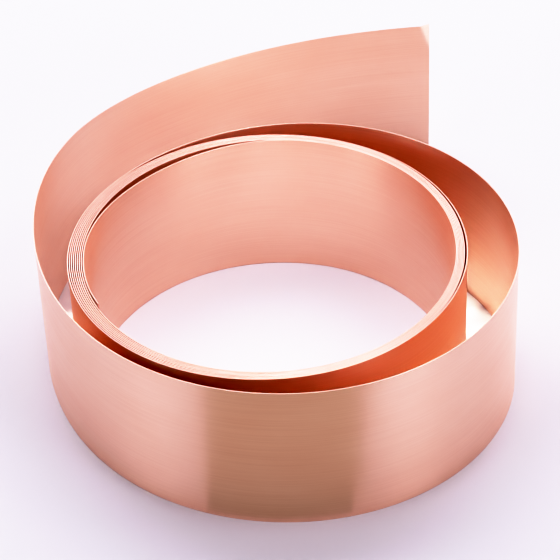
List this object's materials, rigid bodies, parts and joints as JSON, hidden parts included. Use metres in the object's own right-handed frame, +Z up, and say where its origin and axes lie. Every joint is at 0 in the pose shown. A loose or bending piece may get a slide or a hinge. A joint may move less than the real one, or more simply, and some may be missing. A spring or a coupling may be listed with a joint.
{
  "type": "coil of copper strip",
  "caption": "Coil of bare copper strip standing on edge, its outer wrap sprung loose and swept round to a free cut end.",
  "frame": {"origin": "middle of the base, under the middle of the whole object's box, with the coil's own axis off towards -X and -Y", "axes": "+Z up along the coil's axis, across the strip's width; +Y towards the free end, away from the front of the loose wrap"},
  "size_m": [0.1484, 0.1894, 0.05],
  "materials": {
    "copper_strip": null
  },
  "bodies": {
    "coil": {"coil_turn_1": "copper_strip", "coil_turn_2": "copper_strip", "coil_turn_3": "copper_strip", "coil_turn_4": "copper_strip", "coil_turn_5": "copper_strip", "coil_turn_6": "copper_strip", "coil_turn_7": "copper_strip", "coil_turn_8": "copper_strip", "inner_end": "copper_strip"},
    "wrap_leaf_01": {"wrap_leaf_01": "copper_strip"},
    "wrap_leaf_02": {"wrap_leaf_02": "copper_strip"},
    "wrap_leaf_03": {"wrap_leaf_03": "copper_strip"},
    "wrap_leaf_04": {"wrap_leaf_04": "copper_strip"},
    "wrap_leaf_05": {"wrap_leaf_05": "copper_strip"},
    "wrap_leaf_06": {"wrap_leaf_06": "copper_strip"},
    "wrap_leaf_07": {"wrap_leaf_07": "copper_strip"},
    "wrap_leaf_08": {"wrap_leaf_08": "copper_strip"},
    "wrap_leaf_09": {"wrap_leaf_09": "copper_strip"},
    "wrap_leaf_10": {"wrap_leaf_10": "copper_strip"},
    "wrap_leaf_11": {"wrap_leaf_11": "copper_strip"},
    "wrap_leaf_12": {"wrap_leaf_12": "copper_strip"},
    "wrap_leaf_13": {"wrap_leaf_13": "copper_strip"},
    "free_end_leaf": {"free_end_leaf": "copper_strip"}
  },
  "joints": [
    {"name": "bend_01", "type": "hinge", "parent": "coil", "child": "wrap_leaf_01", "pos_m": [-0.05156, 0.00733, 0.025], "axis": [0, 0, 1], "range_deg": [-1.5, 1.7], "stiffness_Nm_per_rad": 0.317},
    {"name": "bend_02", "type": "hinge", "parent": "wrap_leaf_01", "child": "wrap_leaf_02", "pos_m": [-0.01874, 0.03361, 0.025], "axis": [0, 0, 1], "range_deg": [-2.6, 3], "stiffness_Nm_per_rad": 0.317},
    {"name": "bend_03", "type": "hinge", "parent": "wrap_leaf_02", "child": "wrap_leaf_03", "pos_m": [0.02308, 0.03708, 0.025], "axis": [0, 0, 1], "range_deg": [-1.7, 1.9], "stiffness_Nm_per_rad": 0.317},
    {"name": "bend_04", "type": "hinge", "parent": "wrap_leaf_03", "child": "wrap_leaf_04", "pos_m": [0.05883, 0.01526, 0.025], "axis": [0, 0, 1], "range_deg": [-1.2, 1.3], "stiffness_Nm_per_rad": 0.317},
    {"name": "bend_05", "type": "hinge", "parent": "wrap_leaf_04", "child": "wrap_leaf_05", "pos_m": [0.074, -0.02378, 0.025], "axis": [0, 0, 1], "range_deg": [-1.3, 1.5], "stiffness_Nm_per_rad": 0.317},
    {"name": "bend_06", "type": "hinge", "parent": "wrap_leaf_05", "child": "wrap_leaf_06", "pos_m": [0.06269, -0.06413, 0.025], "axis": [0, 0, 1], "range_deg": [-1.7, 1.9], "stiffness_Nm_per_rad": 0.317},
    {"name": "bend_07", "type": "hinge", "parent": "wrap_leaf_06", "child": "wrap_leaf_07", "pos_m": [0.0297, -0.09005, 0.025], "axis": [0, 0, 1], "range_deg": [-2.2, 2.5], "stiffness_Nm_per_rad": 0.317},
    {"name": "bend_08", "type": "hinge", "parent": "wrap_leaf_07", "child": "wrap_leaf_08", "pos_m": [-0.01223, -0.09248, 0.025], "axis": [0, 0, 1], "range_deg": [-2.9, 3.3], "stiffness_Nm_per_rad": 0.317},
    {"name": "bend_09", "type": "hinge", "parent": "wrap_leaf_08", "child": "wrap_leaf_09", "pos_m": [-0.04869, -0.0715, 0.025], "axis": [0, 0, 1], "range_deg": [-4.4, 5], "stiffness_Nm_per_rad": 0.317},
    {"name": "bend_10", "type": "hinge", "parent": "wrap_leaf_09", "child": "wrap_leaf_10", "pos_m": [-0.06971, -0.03487, 0.025], "axis": [0, 0, 1], "range_deg": [-5.7, 6.5], "stiffness_Nm_per_rad": 0.317},
    {"name": "bend_11", "type": "hinge", "parent": "wrap_leaf_10", "child": "wrap_leaf_11", "pos_m": [-0.07334, 0.0073, 0.025], "axis": [0, 0, 1], "range_deg": [-5.4, 6.1], "stiffness_Nm_per_rad": 0.317},
    {"name": "bend_12", "type": "hinge", "parent": "wrap_leaf_11", "child": "wrap_leaf_12", "pos_m": [-0.05779, 0.04642, 0.025], "axis": [0, 0, 1], "range_deg": [-5.7, 6.5], "stiffness_Nm_per_rad": 0.317},
    {"name": "bend_13", "type": "hinge", "parent": "wrap_leaf_12", "child": "wrap_leaf_13", "pos_m": [-0.0249, 0.07313, 0.025], "axis": [0, 0, 1], "range_deg": [-9.3, 10.6], "stiffness_Nm_per_rad": 0.317},
    {"name": "bend_14", "type": "hinge", "parent": "wrap_leaf_13", "child": "free_end_leaf", "pos_m": [0.01469, 0.08862, 0.025], "axis": [0, 0, 1], "range_deg": [-11.5, 13.2], "stiffness_Nm_per_rad": 0.317}
  ],
  "couplings": [
    {"joint": "bend_01", "follows": "bend_10", "ratio": 0.242},
    {"joint": "bend_02", "follows": "bend_10", "ratio": 0.413},
    {"joint": "bend_03", "follows": "bend_10", "ratio": 0.265},
    {"joint": "bend_04", "follows": "bend_10", "ratio": 0.188},
    {"joint": "bend_05", "follows": "bend_10", "ratio": 0.208},
    {"joint": "bend_06", "follows": "bend_10", "ratio": 0.264},
    {"joint": "bend_07", "follows": "bend_10", "ratio": 0.352},
    {"joint": "bend_08", "follows": "bend_10", "ratio": 0.467},
    {"joint": "bend_09", "follows": "bend_10", "ratio": 0.701},
    {"joint": "bend_11", "follows": "bend_10", "ratio": 0.859},
    {"joint": "bend_12", "follows": "bend_10", "ratio": 0.903},
    {"joint": "bend_13", "follows": "bend_10", "ratio": 1.485},
    {"joint": "bend_14", "follows": "bend_10", "ratio": 1.841}
  ]
}
